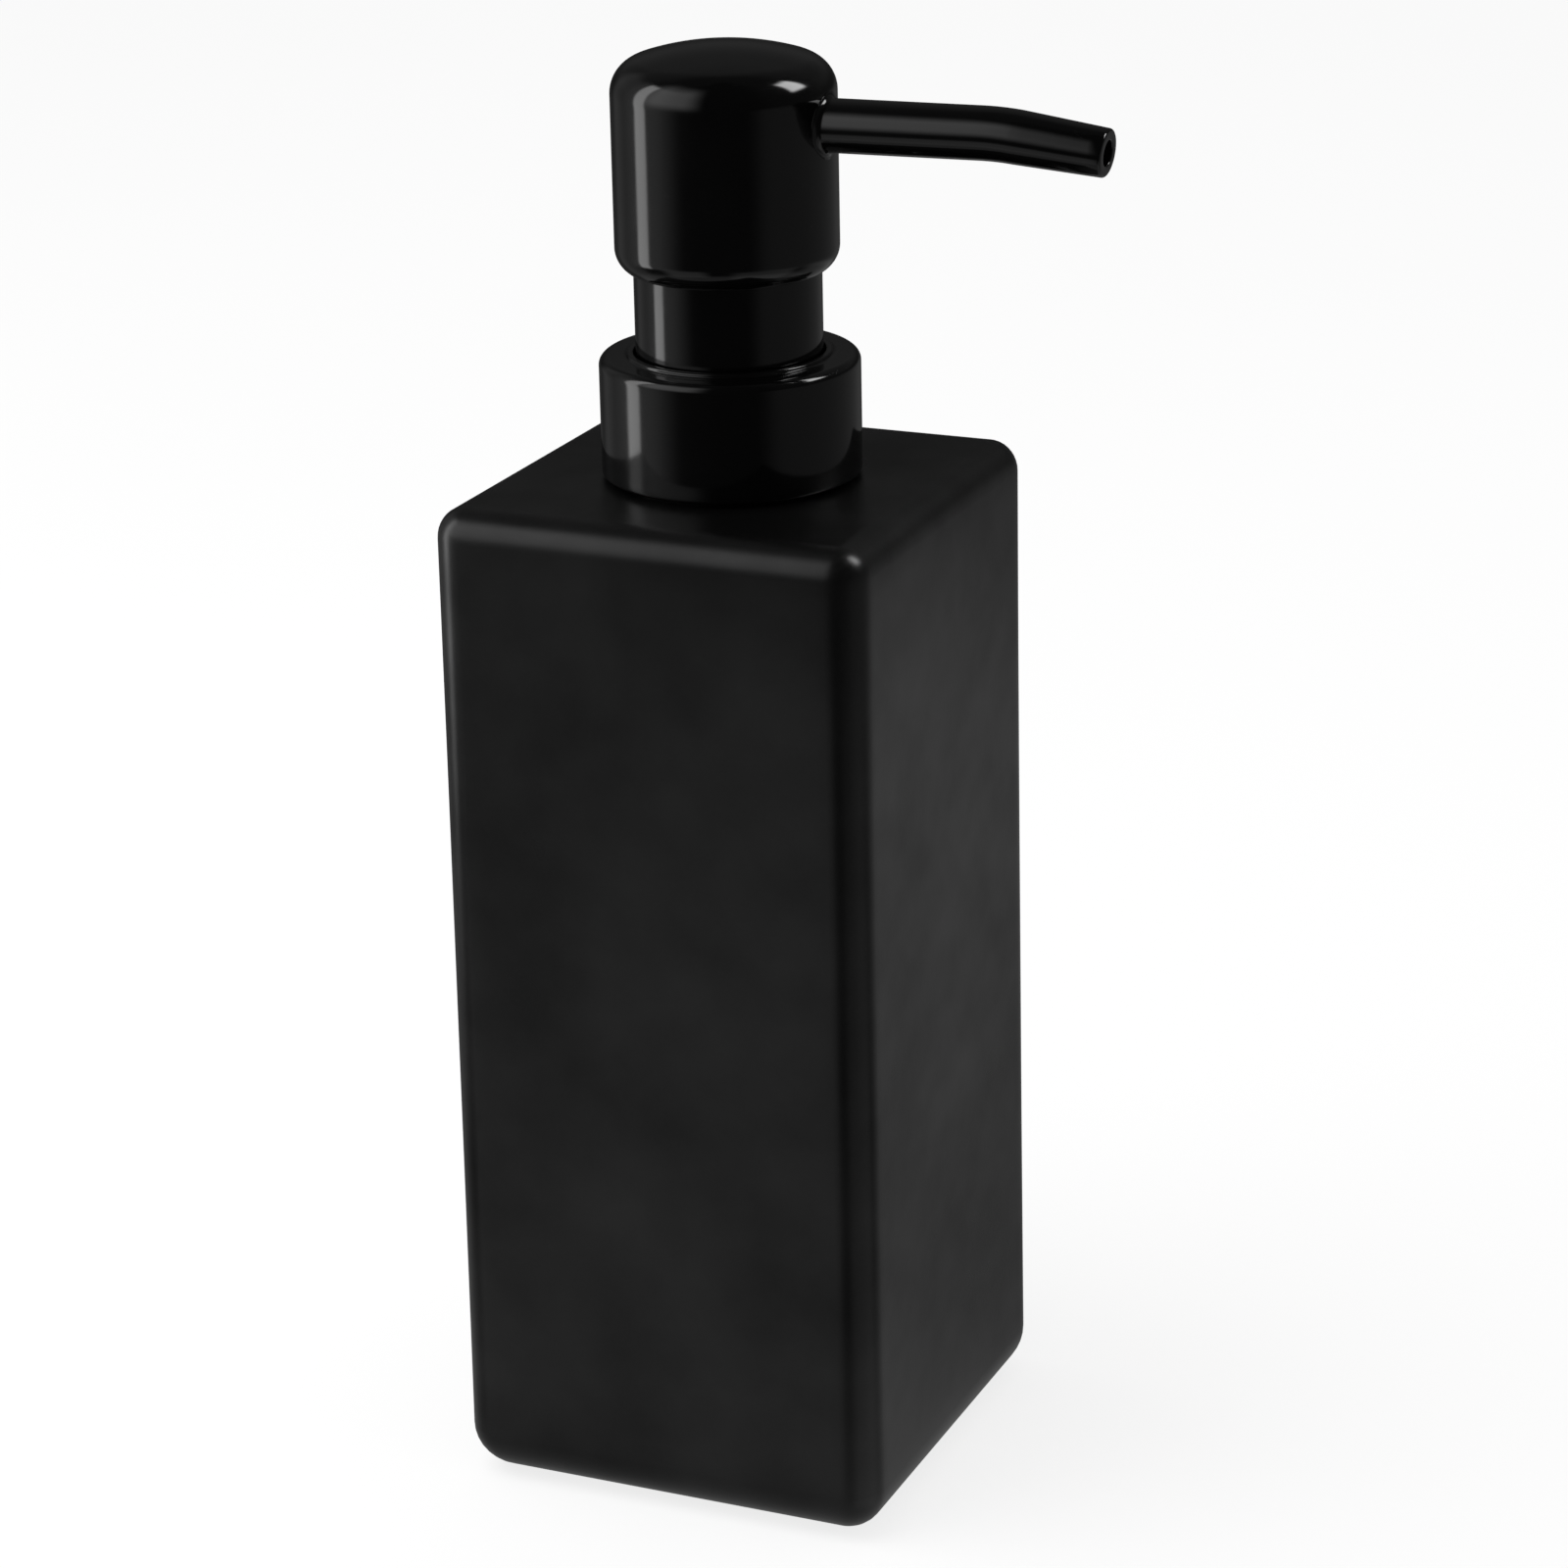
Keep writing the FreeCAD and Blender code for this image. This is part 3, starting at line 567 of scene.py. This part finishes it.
# Specks: the odd grain of dust. Spacing and Width are in millimetres.
specks, given, result = group_of("Dust_Specks", {"Spacing": 6, "Width": 0.2, "Share": 0.2},
                                 "Mask")
frequency = math_node(specks, "DIVIDE", 1000, given["Spacing"])
cells = node(specks, "ShaderNodeTexVoronoi", {"Vector": object_place(specks), "Scale": frequency,
                                              "Randomness": 1.0}, feature="F1")
reach = math_node(specks, "DIVIDE", given["Width"], given["Spacing"])
near = math_node(specks, "LESS_THAN", cells.outputs["Distance"], reach)
draw = node(specks, "ShaderNodeSeparateColor", {0: cells.outputs["Color"]}).outputs[0]
chosen = math_node(specks, "LESS_THAN", draw, given["Share"])
specks.links.new(math_node(specks, "MULTIPLY", near, chosen), result.inputs[0])

DUST = (0.16, 0.16, 0.16, 1)
gloss_black, tree, shader = material("Gloss_Black_Plastic", IOR=1.5)
drift = use(tree, clouds, Size=14, Low=0, High=1, Detail=2)
body = tint(tree, drift, (0.0032, 0.0032, 0.0033), (0.0048, 0.0048, 0.0049))
dust = use(tree, specks, Spacing=3.4, Width=0.1, Share=0.05)
dusted = node(tree, "ShaderNodeMix", {"Factor": dust, "A": body, "B": DUST}, data_type="RGBA")
smudge = use(tree, clouds, Size=7, Low=0.07, High=0.12, Detail=5)
hairs = use(tree, scratches, Length=16, Width=0.0035, Amount=0.35)
marked = math_node(tree, "ADD", smudge, math_node(tree, "MULTIPLY", hairs, 0.12), clamp=True)
dulled = math_node(tree, "ADD", marked, math_node(tree, "MULTIPLY", dust, 0.6), clamp=True)
dress(tree, shader, Base_Color=dusted.outputs["Result"], Roughness=dulled,
      Normal=use(tree, skin, Size=2.6, Depth=5, Detail=1))
sleeve.data.materials.append(gloss_black)
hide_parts("guide_sleeve")
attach(sleeve, "pump_core")


# ---------------------------------------------------------------------------------------------
# Collar: a matt black nut with the thread, pressed into a gloss black cover that hides it.
# The cover has a softly rounded rim and a small raised lip round the sleeve.

finish_node("collar_nut", neck_black)

collar_low, collar_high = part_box("collar_cover")
COLLAR_R = 16.75 * MM
RIM_R = 1.2 * MM
LIP_R = 0.3 * MM
LIP_H = 0.5 * MM
COLLAR_HOLE_R = 12.25 * MM
LIP_OUT = COLLAR_HOLE_R + 0.95 * MM
COVER_WALL = 1.35 * MM
COVER_ROOF = 1.3 * MM
COVER_FOOT_R = 0.55 * MM
CHAMFER = 0.1 * MM
rim_top = collar_high[2] - LIP_H
roof_low = rim_top - COVER_ROOF
foot = collar_low[2]
lip_z = collar_high[2] - LIP_R
profile = [(COLLAR_HOLE_R, roof_low)]
profile += between((COLLAR_HOLE_R, roof_low), (COLLAR_HOLE_R, lip_z), 3)
profile += rounded((COLLAR_HOLE_R + LIP_R, lip_z), LIP_R, 180, 90, 6)
profile += rounded((LIP_OUT - LIP_R, lip_z), LIP_R, 90, 0, 6)
profile += [(LIP_OUT, rim_top + CHAMFER), (LIP_OUT + CHAMFER, rim_top)]
profile += between((LIP_OUT + CHAMFER, rim_top), (COLLAR_R - RIM_R, rim_top), 5)
profile += rounded((COLLAR_R - RIM_R, rim_top - RIM_R), RIM_R, 90, 0, 14)
profile += between((COLLAR_R, rim_top - RIM_R), (COLLAR_R, foot + COVER_FOOT_R), 24)
profile += rounded((COLLAR_R - COVER_FOOT_R, foot + COVER_FOOT_R), COVER_FOOT_R, 0, -90, 6)
profile += [(COLLAR_R - COVER_WALL + CHAMFER, foot), (COLLAR_R - COVER_WALL, foot + CHAMFER),
            (COLLAR_R - COVER_WALL, roof_low)]
cover = turned_piece("polished_collar", profile)
cover.data.materials.append(gloss_black)
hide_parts("collar_cover")
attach(cover, "collar")


# ---------------------------------------------------------------------------------------------
# Head: a gloss black cap with a slightly domed top, glued over a ribbed inner core that takes
# the stem. Its lower edge curls in to just clear the sleeve.

finish_node("head_core", neck_black)

head_low, head_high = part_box("head_shell")
HEAD_R = 14.3 * MM
HEAD_BASE = 161.6 * MM
TOP_EDGE_R = 4.6 * MM
DOME_R = 36.0 * MM
BOTTOM_EDGE_R = 3.5 * MM
HEAD_WALL = 1.5 * MM
HEAD_LIP_R = 12.3 * MM
HEAD_LIP_TOP = HEAD_BASE + 3.4 * MM
LIP_SLOPE = 0.5 * MM
inner_r = HEAD_R - HEAD_WALL
lip_low = head_low[2] + 0.15 * MM
dome = (0.0, head_high[2] - DOME_R)
shoulder_reach = math.sqrt((DOME_R - TOP_EDGE_R) ** 2 - (HEAD_R - TOP_EDGE_R) ** 2)
shoulder = (HEAD_R - TOP_EDGE_R, dome[1] + shoulder_reach)
meet = math.degrees(math.atan2(shoulder_reach, HEAD_R - TOP_EDGE_R))
curl = (HEAD_R - BOTTOM_EDGE_R, HEAD_BASE + BOTTOM_EDGE_R)
curl_turn = -math.degrees(math.acos((HEAD_LIP_R - curl[0]) / BOTTOM_EDGE_R))

# The profile stops just short of the axis at both ends, where a pole closes it
INNER_POLE, OUTER_POLE = 89.6, 89.75
profile = rounded(dome, DOME_R - HEAD_WALL, INNER_POLE, meet, 12)
profile += rounded(shoulder, TOP_EDGE_R - HEAD_WALL, meet, 0, 10)[1:]
profile += between((inner_r, shoulder[1]), (inner_r, HEAD_LIP_TOP + LIP_SLOPE), 10)
profile += [(inner_r, HEAD_LIP_TOP + LIP_SLOPE), (HEAD_LIP_R, HEAD_LIP_TOP)]
profile += between((HEAD_LIP_R, HEAD_LIP_TOP), (HEAD_LIP_R, lip_low), 3)
profile += [(HEAD_LIP_R, lip_low)]
profile += rounded(curl, BOTTOM_EDGE_R, curl_turn, 0, 20)[1:]
profile += between((HEAD_R, curl[1]), (HEAD_R, shoulder[1]), 44)
profile += rounded(shoulder, TOP_EDGE_R, 0, meet, 26)
profile += rounded(dome, DOME_R, meet, OUTER_POLE, 26)[1:]
cap = turned_piece("polished_head", profile, closed=False)

# The spout leaves the head a degree upwards, through a hole in the cap's wall
SPOUT_HEIGHT = 180.9 * MM
SPOUT_RISE = math.radians(1.0)
ROOT_R = 3.4 * MM
HOLE_R = ROOT_R + 0.05 * MM
HOLE_STEPS = 64
spout_line = Matrix.Translation((0, 0, SPOUT_HEIGHT)) @ Matrix.Rotation(-SPOUT_RISE, 4, "Y")
hole_angles = [2 * math.pi * step / HOLE_STEPS for step in range(HOLE_STEPS)]
drill = lofted("drill", [[spout_line @ Vector((x, HOLE_R * math.cos(a), HOLE_R * math.sin(a)))
                          for a in hole_angles] for x in (9 * MM, 18 * MM)])
boring = cap.modifiers.new("boring", "BOOLEAN")
boring.operation = "DIFFERENCE"
boring.solver = "EXACT"
boring.object = drill
cap.data = taken_from(cap)
bpy.data.objects.remove(drill)
cap.data.materials.clear()
cap.data.materials.append(gloss_black)
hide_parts("head_shell")
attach(cap, "head")


# ---------------------------------------------------------------------------------------------
# Spout: a thin gloss black tube pushed into the core, bent down near its end over a pin while
# soft. A small fillet meets the cap, and the open end is lightly rounded.

SPIGOT_R = 2.6 * MM
SPIGOT_START = 7.1 * MM
SPIGOT_END = 12.8 * MM
BEND_R = 40 * MM
BEND = math.radians(7.0)
BEND_LENGTH = BEND_R * BEND
BEND_TUBE_R = 3.38 * MM
TIP_R = 3.04 * MM
STRAIGHT_END = 34.5 * MM
LAST_RUN = 11.7 * MM
BORE_R = 1.6 * MM
TIP_EDGE_R = 0.35 * MM
OUTLET_EDGE_R = 0.2 * MM
FLARE = 0.8 * MM
FLARE_GAP = 0.02 * MM
SPOUT_STEPS = 112


def spout_centre(travel):
    """Where the spout's axis is after that much travel from the pump's axis, and its tilt."""
    turn = min(max((travel - STRAIGHT_END) / BEND_LENGTH, 0), 1) * BEND
    x = min(travel, STRAIGHT_END) + BEND_R * math.sin(turn)
    z = -BEND_R * (1 - math.cos(turn))
    beyond = max(travel - STRAIGHT_END - BEND_LENGTH, 0)
    return Vector((x + beyond * math.cos(turn), 0, z - beyond * math.sin(turn))), turn


def spout_ring(travel, radius):
    """A ring round the spout's axis."""
    centre, turn = spout_centre(travel)
    ring = []
    for step in range(SPOUT_STEPS):
        a = 2 * math.pi * step / SPOUT_STEPS
        up = radius * math.sin(a)
        local = centre + Vector((up * math.sin(turn), radius * math.cos(a), up * math.cos(turn)))
        ring.append(spout_line @ local)
    return ring


def ring_on_head(radius, stand_off):
    """A ring round the spout that follows the round wall of the head."""
    ring = []
    for step in range(SPOUT_STEPS):
        a = 2 * math.pi * step / SPOUT_STEPS
        y = radius * math.cos(a)
        z = radius * math.sin(a)
        level_x = math.sqrt((HEAD_R + stand_off) ** 2 - y ** 2)
        x = level_x / math.cos(SPOUT_RISE) + z * math.tan(SPOUT_RISE)
        ring.append(spout_line @ Vector((x, y, z)))
    return ring


def outside_r(travel):
    """The tube narrows a little towards its tip."""
    if travel < STRAIGHT_END:
        share = (travel - SPIGOT_END) / (STRAIGHT_END - SPIGOT_END)
        return ROOT_R + (BEND_TUBE_R - ROOT_R) * share
    after = max(0, travel - STRAIGHT_END - BEND_LENGTH) / LAST_RUN
    return BEND_TUBE_R + (TIP_R - BEND_TUBE_R) * after


def quarter_turn(steps, first=1):
    """Angles over a rounded edge."""
    return [math.pi / 2 * step / steps for step in range(first, steps + 1)]


tip_travel = STRAIGHT_END + BEND_LENGTH + LAST_RUN
straight_start = HEAD_R + FLARE + 0.3 * MM

# The spigot in the core, and the fillet on the head
rings = [spout_ring(SPIGOT_START, BORE_R), spout_ring(SPIGOT_START, SPIGOT_R - 0.2 * MM),
         spout_ring(SPIGOT_START + 0.2 * MM, SPIGOT_R),
         spout_ring(SPIGOT_END - 0.01 * MM, SPIGOT_R), spout_ring(SPIGOT_END, ROOT_R),
         ring_on_head(ROOT_R, FLARE_GAP), ring_on_head(ROOT_R + FLARE, FLARE_GAP)]
rings += [ring_on_head(ROOT_R + FLARE * (1 - math.sin(a)), FLARE_GAP + FLARE * (1 - math.cos(a)))
          for a in quarter_turn(10)]

# The straight run, the bend, the last run and the rounded tip
travels = [straight_start + (STRAIGHT_END - straight_start) * step / 14 for step in range(15)]
travels += [STRAIGHT_END + BEND_LENGTH * step / 12 for step in range(1, 13)]
travels += [STRAIGHT_END + BEND_LENGTH + (LAST_RUN - TIP_EDGE_R) * step / 8
            for step in range(1, 9)]
rings += [spout_ring(travel, outside_r(travel)) for travel in travels]
rings += [spout_ring(tip_travel - TIP_EDGE_R * (1 - math.sin(a)),
                     TIP_R - TIP_EDGE_R * (1 - math.cos(a))) for a in quarter_turn(7)]

# The outlet's edge, and the bore on its way back
rings += [spout_ring(tip_travel - OUTLET_EDGE_R * (1 - math.cos(a)),
                     BORE_R + OUTLET_EDGE_R * (1 - math.sin(a))) for a in quarter_turn(4, 0)]
rings += [spout_ring(tip_travel - OUTLET_EDGE_R - (LAST_RUN - OUTLET_EDGE_R) * step / 8, BORE_R)
          for step in range(1, 9)]
rings += [spout_ring(STRAIGHT_END + BEND_LENGTH * (1 - step / 6), BORE_R) for step in range(1, 7)]
rings.append(spout_ring(20 * MM, BORE_R))
spout = lofted("polished_spout", rings, closed=True)
spout.data.materials.append(gloss_black)
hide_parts("spout")
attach(spout, "head")


# ---------------------------------------------------------------------------------------------
# Studio: a plain pale floor, and a camera a little above the object. A long soft light stands
# at the left, a soft box at the front left and a small one high at the right, in a dim surround.

VIEW_AZIMUTH = math.radians(23.74)
VIEW_ELEVATION = math.radians(19.61)
VIEW_ROLL = math.radians(-1.18)
VIEW_DISTANCE = 0.627
back = Vector((math.sin(VIEW_AZIMUTH) * math.cos(VIEW_ELEVATION),
               -math.cos(VIEW_AZIMUTH) * math.cos(VIEW_ELEVATION), math.sin(VIEW_ELEVATION)))
right = Vector((math.cos(VIEW_AZIMUTH), math.sin(VIEW_AZIMUTH), 0))
up = back.cross(right)
tilted_right = right * math.cos(VIEW_ROLL) + up * math.sin(VIEW_ROLL)
tilted_up = up * math.cos(VIEW_ROLL) - right * math.sin(VIEW_ROLL)
AIM = right * 5.78 * MM + Vector((0, 0, 92.4 * MM))
camera_data = bpy.data.cameras.new("camera")
camera_data.sensor_width = 36
camera_data.lens = 109.4
camera_data.clip_start = 0.05
camera = placed("camera", camera_data)
facing = Matrix((tilted_right, tilted_up, back)).transposed().to_4x4()
camera.matrix_world = Matrix.Translation(AIM + back * VIEW_DISTANCE) @ facing
bpy.context.scene.camera = camera

FLOOR = 6.0
FLOOR_GLOW = 0.79
floor_mesh = bpy.data.meshes.new("floor")
floor_mesh.from_pydata([(-FLOOR, -FLOOR, 0), (FLOOR, -FLOOR, 0), (FLOOR, FLOOR, 0),
                        (-FLOOR, FLOOR, 0)], [], [(0, 1, 2, 3)])
floor = placed("floor", floor_mesh)
floor.visible_glossy = False
pale, tree, shader = material("Pale_Floor", Roughness=0.9, Specular_IOR_Level=0.0)
shader.inputs["Emission Color"].default_value = (1, 1, 1, 1)
drift = use(tree, clouds, Size=300, Low=0, High=1, Detail=2)
seen = node(tree, "ShaderNodeLightPath").outputs["Is Camera Ray"]
dress(tree, shader, Base_Color=tint(tree, drift, (0.86, 0.86, 0.86), (0.88, 0.88, 0.88)),
      Emission_Strength=math_node(tree, "MULTIPLY", seen, FLOOR_GLOW))
floor_mesh.materials.append(pale)

# What the gloss reflects: a tent round the object with soft lights on it. Each is given by its
# middle, half size and soft border, first across (degrees to the right of the camera) and then
# upwards, and by its strength.
TENT_R = 0.42
TENT_MIDDLE = Vector((0, 0, 0.15))
TENT_GLOW = 0.045
SOFT_LIGHTS = (
    (-93, 5.5, 4, 12, 32, 5, 2.5),
    (-82, 5, 36, 12, 32, 6, 0.34),
    (-122, 12, 18, 0, 35, 12, 0.12),
    (-58, 14, 26, 30, 12, 26, 0.95),
    (90, 8, 6, 43, 9, 7, 9.0),
    (95, 50, 25, -14, 10, 8, 0.075),
    (133, 25, 25, -30, 4, 8, 0.16),
    (-47, 14, 18, -32, 6, 9, 0.30),
    (43, 25, 20, -42, 12, 9, 0.20),
    (0, 180, 1, -80, 34, 12, 0.20),
    (180, 50, 40, 40, 18, 16, 0.04),
)


def soft_step(offset, half, border):
    """1 inside a light, falling smoothly to 0 over its border."""
    share = min(max((abs(offset) - half) / border, 0), 1)
    return 1 - share * share * (3 - 2 * share)


def tent_glow(across, upwards):
    """How bright the tent is in a direction. It is darker in front, and high up at the back."""
    glow = TENT_GLOW - 0.022 * soft_step(across, 30, 25)
    glow -= 0.02 * soft_step(abs(across) - 180, 30, 40) * soft_step(upwards - 18, 14, 14)
    for middle, half, border, high, half_high, border_high, strength in SOFT_LIGHTS:
        offset = (across - middle + 180) % 360 - 180
        glow += (strength * soft_step(offset, half, border)
                 * soft_step(upwards - high, half_high, border_high))
    return glow


tent_points, tent_faces, tent_values = [], [], []
ACROSS, UPWARDS = 240, 90
LOWEST, SPAN = -89.9, 179.8
for row in range(UPWARDS + 1):
    upwards = LOWEST + SPAN * row / UPWARDS
    for column in range(ACROSS):
        across = 360 * column / ACROSS
        around = VIEW_AZIMUTH + math.radians(across)
        lift = math.radians(upwards)
        outwards = Vector((math.sin(around) * math.cos(lift),
                           -math.cos(around) * math.cos(lift), math.sin(lift)))
        tent_points.append(TENT_MIDDLE + TENT_R * outwards)
        tent_values.append(tent_glow((across + 180) % 360 - 180, upwards))
        if row < UPWARDS:
            beside = (column + 1) % ACROSS
            tent_faces.append((row * ACROSS + column, row * ACROSS + beside,
                               (row + 1) * ACROSS + beside, (row + 1) * ACROSS + column))
tent_mesh = bpy.data.meshes.new("light_tent")
tent_mesh.from_pydata(tent_points, [], tent_faces)
tent_mesh.attributes.new("glow", "FLOAT", "POINT").data.foreach_set("value", tent_values)
tent = placed("light_tent", tent_mesh)
tent.visible_camera = tent.visible_diffuse = tent.visible_shadow = False
lit = bpy.data.materials.new("Light_Tent")
lit.use_nodes = True
tree = lit.node_tree
tree.nodes.clear()
strength = node(tree, "ShaderNodeAttribute", attribute_name="glow").outputs["Fac"]
emission = node(tree, "ShaderNodeEmission", {"Strength": strength}).outputs[0]
node(tree, "ShaderNodeOutputMaterial", {"Surface": emission})
tent_mesh.materials.append(lit)

# One broad light from above for the soft shadow on the floor
lamp_data = bpy.data.lights.new("overhead", "AREA")
lamp_data.size = 0.7
lamp_data.energy = 1.3
lamp = placed("overhead", lamp_data)
overhead = Vector((-0.35, -0.25, 0.9))
aimed = overhead.to_track_quat("Z", "Y").to_matrix().to_4x4()
lamp.matrix_world = Matrix.Translation(overhead) @ aimed
lamp.visible_camera = lamp.visible_glossy = False

# The surround is white to the eye and dim as a light
DIM, WHITE = 0.16, 1.0
world = bpy.data.worlds.new("studio")
bpy.context.scene.world = world
world.use_nodes = True
world.cycles.sampling_method = "NONE"
tree = world.node_tree
tree.nodes.clear()
seen = node(tree, "ShaderNodeLightPath").outputs["Is Camera Ray"]
strength = node(tree, "ShaderNodeMix", {"Factor": seen, "A": DIM, "B": WHITE}).outputs["Result"]
backdrop = node(tree, "ShaderNodeBackground", {"Color": (1, 1, 1, 1), "Strength": strength})
node(tree, "ShaderNodeOutputWorld", {"Surface": backdrop.outputs[0]})
bpy.context.scene.view_settings.view_transform = "Standard"
